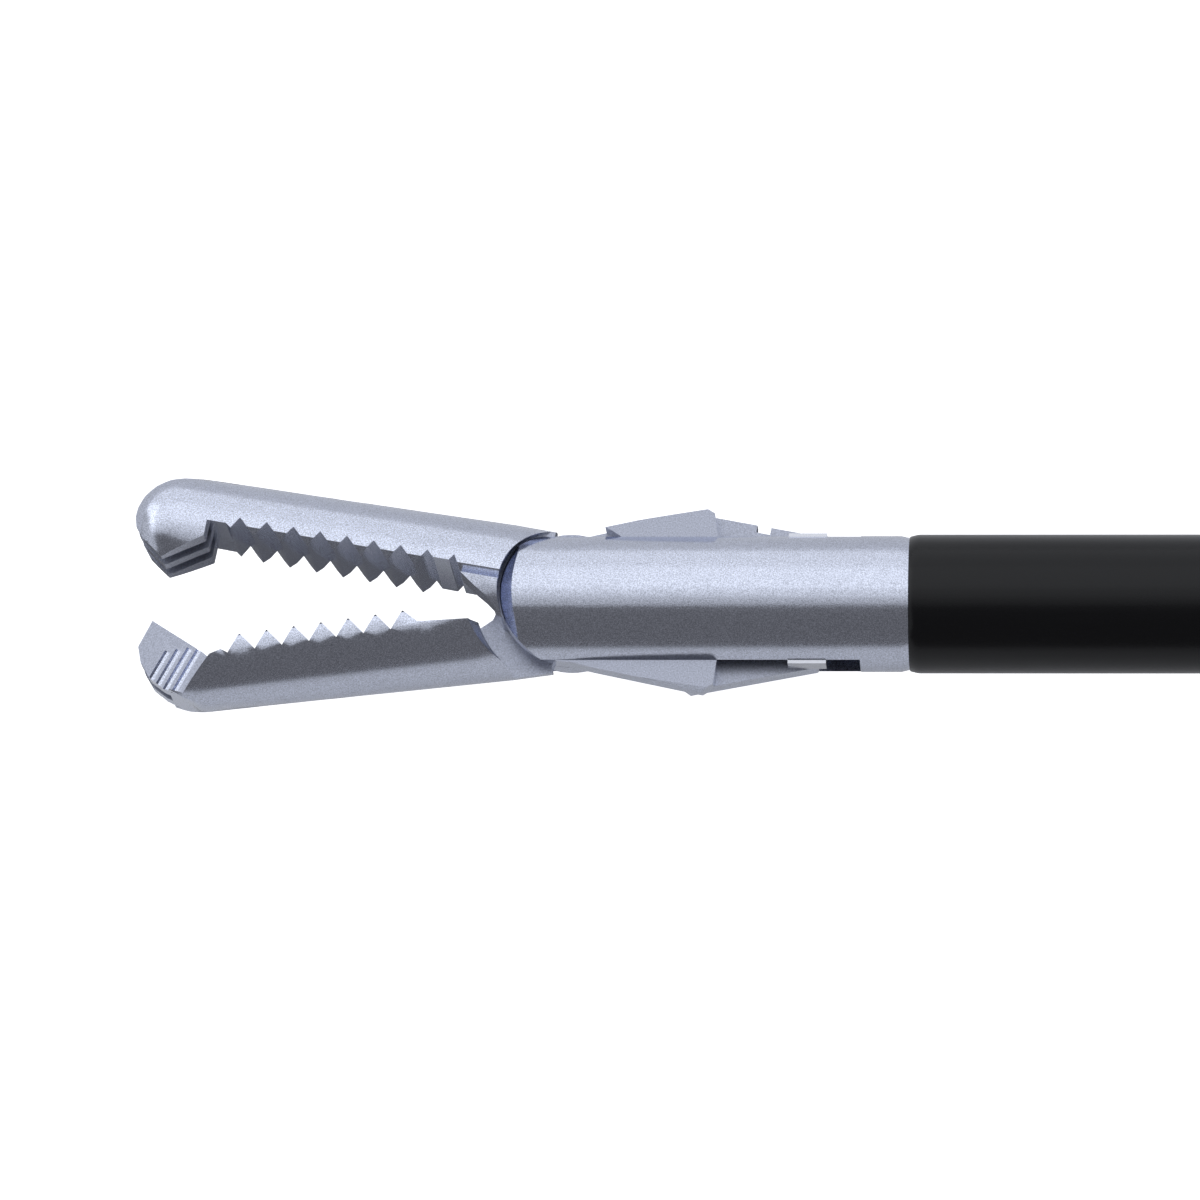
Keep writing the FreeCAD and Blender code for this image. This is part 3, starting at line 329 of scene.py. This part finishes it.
def make_streaks():
    """Long fine marks along one direction, as grinding, drawing or turning leaves."""
    inputs = [("Stretch", "NodeSocketVector"), ("Scale", "NodeSocketFloat")]
    group, entry, leave = make_group("fine_streaks", inputs, [("Fac", "NodeSocketFloat")])
    nodes, links = group.nodes, group.links
    place = nodes.new("ShaderNodeTexCoord").outputs["Object"]
    pull = nodes.new("ShaderNodeVectorMath")
    pull.operation = "MULTIPLY"
    links.new(place, pull.inputs[0])
    links.new(entry.outputs["Stretch"], pull.inputs[1])
    noise = nodes.new("ShaderNodeTexNoise")
    noise.inputs["Detail"].default_value = STREAK_DETAIL
    links.new(pull.outputs[0], noise.inputs["Vector"])
    links.new(entry.outputs["Scale"], noise.inputs["Scale"])
    links.new(noise.outputs["Fac"], leave.inputs["Fac"])
    return group


GRAIN = make_grain()
STREAKS = make_streaks()


def make_finish(name, colour, roughness, grain_scale, cloud_scale, grain_change, bump,
                metallic=0, shine=0.5, streak=None, streak_scale=0, streak_share=0):
    """One finish: colour with fine tone changes, roughness with the same grain, and a slight bump."""
    material, nodes, links = new_material(name)
    out = nodes.new("ShaderNodeOutputMaterial")
    shader = nodes.new("ShaderNodeBsdfPrincipled")
    links.new(shader.outputs[0], out.inputs["Surface"])
    shader.inputs["Metallic"].default_value = metallic
    shader.inputs["Specular IOR Level"].default_value = shine
    grain = nodes.new("ShaderNodeGroup")
    grain.node_tree = GRAIN
    grain.inputs["Grain Scale"].default_value = grain_scale
    grain.inputs["Cloud Scale"].default_value = cloud_scale
    grain.inputs["Grain Change"].default_value = grain_change
    grain.inputs["Cloud Change"].default_value = CLOUD_CHANGE
    tone = grain.outputs["Tone"]
    height = grain.outputs["Height"]
    if streak:
        marks = nodes.new("ShaderNodeGroup")
        marks.node_tree = STREAKS
        marks.inputs["Stretch"].default_value = streak
        marks.inputs["Scale"].default_value = streak_scale
        centred = add_math(nodes, links, "SUBTRACT", marks.outputs["Fac"], MID_TONE)
        share = add_math(nodes, links, "MULTIPLY", centred, streak_share)
        tone = add_math(nodes, links, "ADD", tone, share)
        height = add_math(nodes, links, "ADD", height, marks.outputs["Fac"])
    tint = nodes.new("ShaderNodeVectorMath")
    tint.operation = "SCALE"
    tint.inputs[0].default_value = colour
    links.new(tone, tint.inputs["Scale"])
    links.new(tint.outputs[0], shader.inputs["Base Color"])
    change = add_math(nodes, links, "SUBTRACT", tone, 1.0)
    scaled = add_math(nodes, links, "MULTIPLY", change, ROUGHNESS_SHARE)
    links.new(add_math(nodes, links, "ADD", scaled, roughness), shader.inputs["Roughness"])
    relief = nodes.new("ShaderNodeBump")
    relief.inputs["Strength"].default_value = bump
    relief.inputs["Distance"].default_value = BUMP_DISTANCE
    links.new(height, relief.inputs["Height"])
    links.new(relief.outputs[0], shader.inputs["Normal"])
    return material


BLASTED_STEEL = make_finish(
    "blasted_steel", (0.61, 0.64, 0.745), roughness=0.2, metallic=1,
    grain_scale=22000, cloud_scale=900, grain_change=1.5, bump=0.05,
)
# Milled flats: rougher steel whose darker colour is painted shade, standing in for the dim reflection
# these flats show
MILLED_AND_SHADED_STEEL = make_finish(
    "milled_and_shaded_steel", (0.43, 0.45, 0.53), roughness=0.36, metallic=1,
    grain_scale=22000, cloud_scale=1200, grain_change=1.2, bump=0.1,
)
GROUND_STEEL = make_finish(
    "ground_steel", (0.66, 0.67, 0.72), roughness=0.26, metallic=1,
    grain_scale=14000, cloud_scale=500, grain_change=0.12, bump=0.1,
    streak=(0.04, 1, 1), streak_scale=9000, streak_share=0.12,
)
POLISHED_STEEL = make_finish(
    "polished_steel", (0.70, 0.71, 0.74), roughness=0.16, metallic=1,
    grain_scale=9000, cloud_scale=600, grain_change=0.06, bump=0.04,
)
INSULATION = make_finish(
    "black_insulation", (0.004, 0.004, 0.005), roughness=0.24, shine=0.28,
    grain_scale=9000, cloud_scale=500, grain_change=0.3, bump=0.06,
    streak=(0.05, 1, 1), streak_scale=5000, streak_share=0.3,
)
HANDLE_BLACK = make_finish(
    "handle_plastic", (0.022, 0.022, 0.025), roughness=0.48,
    grain_scale=3500, cloud_scale=60, grain_change=0.3, bump=0.5,
)
KNOB_BLACK = make_finish(
    "knob_plastic", (0.030, 0.030, 0.034), roughness=0.42,
    grain_scale=4000, cloud_scale=80, grain_change=0.3, bump=0.4,
)
SEAL_GREY = make_finish(
    "seal_rubber", (0.16, 0.165, 0.175), roughness=0.62,
    grain_scale=2600, cloud_scale=150, grain_change=0.2, bump=0.5,
)
BEARING_WHITE = make_finish(
    "bearing_plastic", (0.72, 0.71, 0.67), roughness=0.38,
    grain_scale=3000, cloud_scale=200, grain_change=0.06, bump=0.15,
)
BRASS = make_finish(
    "contact_brass", (0.70, 0.52, 0.24), roughness=0.28, metallic=1,
    grain_scale=8000, cloud_scale=400, grain_change=0.12, bump=0.1,
)

NODE_FINISH = {
    "upper_jaw": BLASTED_STEEL,
    "lower_jaw": BLASTED_STEEL,
    "upper_jaw_link": BLASTED_STEEL,
    "lower_jaw_link": BLASTED_STEEL,
    "clevis": BLASTED_STEEL,
    "hinge_pin": BLASTED_STEEL,
    "upper_jaw_tang_pin": POLISHED_STEEL,
    "lower_jaw_tang_pin": POLISHED_STEEL,
    "crosshead_pins": POLISHED_STEEL,
    "rod_crosshead": GROUND_STEEL,
    "insulation_sheath": INSULATION,
    "shaft_tube": GROUND_STEEL,
    "push_rod": GROUND_STEEL,
    "rod_ball": POLISHED_STEEL,
    "shaft_hub": GROUND_STEEL,
    "hub_seal": SEAL_GREY,
    "rotation_knob": KNOB_BLACK,
    "knob_screw": POLISHED_STEEL,
    "flush_port": GROUND_STEEL,
    "port_cap": SEAL_GREY,
    "thumb_lever": HANDLE_BLACK,
    "socket_insert": GROUND_STEEL,
    "lever_bush": BEARING_WHITE,
    "lever_pivot_pin": POLISHED_STEEL,
    "handle_shell_front": HANDLE_BLACK,
    "handle_shell_back": HANDLE_BLACK,
    "handle_screws": POLISHED_STEEL,
    "front_bearing": BEARING_WHITE,
    "hf_post": POLISHED_STEEL,
    "hf_collar": KNOB_BLACK,
    "contact_block": BRASS,
}


def paint_nodes():
    for name, finish in NODE_FINISH.items():
        node = frame["nodes"][name]
        node.data.materials.clear()
        node.data.materials.append(finish)


def dressed(node_name, piece_name, edge_radius, shaded_flat_finish=None, segments=2):
    """Smooth copy of a node with its coincident points joined, flat faces made whole and edges rounded.
    The flat finish goes on the faces square to Z: rougher milled steel whose darker colour is painted
    shade."""
    node = frame["nodes"][node_name]
    mesh = node.data.copy()
    mesh.name = piece_name
    form = bmesh.new()
    form.from_mesh(mesh)
    bmesh.ops.remove_doubles(form, verts=form.verts, dist=SAME_POINT)
    bmesh.ops.dissolve_limit(
        form, angle_limit=FLAT_ANGLE, verts=form.verts, edges=form.edges, delimit={"NORMAL"}
    )
    form.to_mesh(mesh)
    form.free()
    if mesh.attributes.get("custom_normal"):
        mesh.attributes.remove(mesh.attributes["custom_normal"])
    mesh.shade_smooth()
    mesh.set_sharp_from_angle(angle=CREASE_ANGLE)
    piece = add_object(piece_name, mesh)
    bevel = piece.modifiers.new("rounded_edges", "BEVEL")
    bevel.width = edge_radius
    bevel.segments = segments
    bevel.limit_method = "ANGLE"
    bevel.angle_limit = CREASE_ANGLE
    bevel.harden_normals = True
    bevel.use_clamp_overlap = True
    mesh.materials.clear()
    mesh.materials.append(NODE_FINISH[node_name])
    if shaded_flat_finish:
        mesh.materials.append(shaded_flat_finish)
        # Faces square to Z take the second material, whose darker colour is painted shade
        for face in mesh.polygons:
            face.material_index = int(abs(face.normal.z) > FLAT_FACING)
    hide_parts(node_name)
    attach(piece, frame["nodes"][node_name]["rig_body"])


def ring_of(sides, x, radius):
    points = []
    for i in range(sides):
        angle = 2 * math.pi * i / sides
        points.append((x, radius * math.cos(angle), radius * math.sin(angle)))
    return points


def sheath_profile():
    """Half section of the insulation, as (x, radius)."""
    inner = SHAFT_RADIUS - SHEATH_WALL
    tapered = SHAFT_RADIUS - SHEATH_TAPER_DEPTH
    start, end = SHEATH_LOW.x, SHEATH_HIGH.x
    length = end - start
    profile = [
        (start, inner),
        (start, tapered - 0.4 * SHEATH_ROUND),
        (start + 0.4 * SHEATH_ROUND, tapered),
        (start + SHEATH_TAPER - SHEATH_ROUND, SHAFT_RADIUS - 0.25 * SHEATH_ROUND),
        (start + SHEATH_TAPER + SHEATH_ROUND, SHAFT_RADIUS),
    ]
    for i in range(1, SHEATH_LENGTHS):
        profile.append((start + length * i / SHEATH_LENGTHS, SHAFT_RADIUS))
    profile += [
        (end - SHEATH_ROUND, SHAFT_RADIUS),
        (end - 0.3 * SHEATH_ROUND, SHAFT_RADIUS - 0.3 * SHEATH_ROUND),
        (end, SHAFT_RADIUS - SHEATH_ROUND),
        (end, inner),
    ]
    return profile


def make_sheath():
    """Smooth black insulation with a short taper at its front edge and a rounded edge at its end."""
    sides = SHEATH_SIDES
    profile = sheath_profile()
    points = []
    for x, radius in profile:
        points += ring_of(sides, x, radius)
    faces = []
    count = len(profile)
    for k in range(count):
        here = k * sides
        there = ((k + 1) % count) * sides
        for i in range(sides):
            j = (i + 1) % sides
            faces.append((here + i, here + j, there + j, there + i))
    mesh = bpy.data.meshes.new("insulation")
    mesh.from_pydata(points, [], faces)
    form = bmesh.new()
    form.from_mesh(mesh)
    bmesh.ops.recalc_face_normals(form, faces=form.faces)
    form.to_mesh(mesh)
    form.free()
    mesh.shade_smooth()
    mesh.set_sharp_from_angle(angle=SHEATH_CREASE)
    mesh.materials.append(INSULATION)
    piece = add_object("insulation", mesh)
    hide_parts("insulation_sheath")
    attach(piece, "shaft")


bpy.context.scene.view_settings.view_transform = "Standard"
make_camera()
make_room()
make_table()
make_softbox()
make_reflected_shadow_card()
paint_nodes()
make_sheath()
dressed("upper_jaw", "toothed_upper_jaw", 0.05 * MM, MILLED_AND_SHADED_STEEL)
dressed("lower_jaw", "toothed_lower_jaw", 0.03 * MM, MILLED_AND_SHADED_STEEL)
dressed("clevis", "hinge_clevis", 0.04 * MM)
dressed("upper_jaw_link", "lower_side_link", 0.02 * MM, MILLED_AND_SHADED_STEEL)
dressed("lower_jaw_link", "upper_side_link", 0.02 * MM, MILLED_AND_SHADED_STEEL)
dressed("handle_shell_front", "front_shell", 0.5 * MM, segments=3)
dressed("handle_shell_back", "back_shell", 0.5 * MM, segments=3)
dressed("thumb_lever", "lever", 0.5 * MM, segments=3)
dressed("rotation_knob", "knob", 0.25 * MM)
dressed("flush_port", "port", 0.08 * MM)
dressed("port_cap", "cap_of_port", 0.12 * MM)
dressed("shaft_hub", "hub", 0.08 * MM)
dressed("hf_post", "plug_post", 0.1 * MM)
dressed("hf_collar", "collar_of_post", 0.2 * MM)
dressed("handle_screws", "screws_of_handle", 0.1 * MM)
dressed("knob_screw", "screw_of_knob", 0.05 * MM)
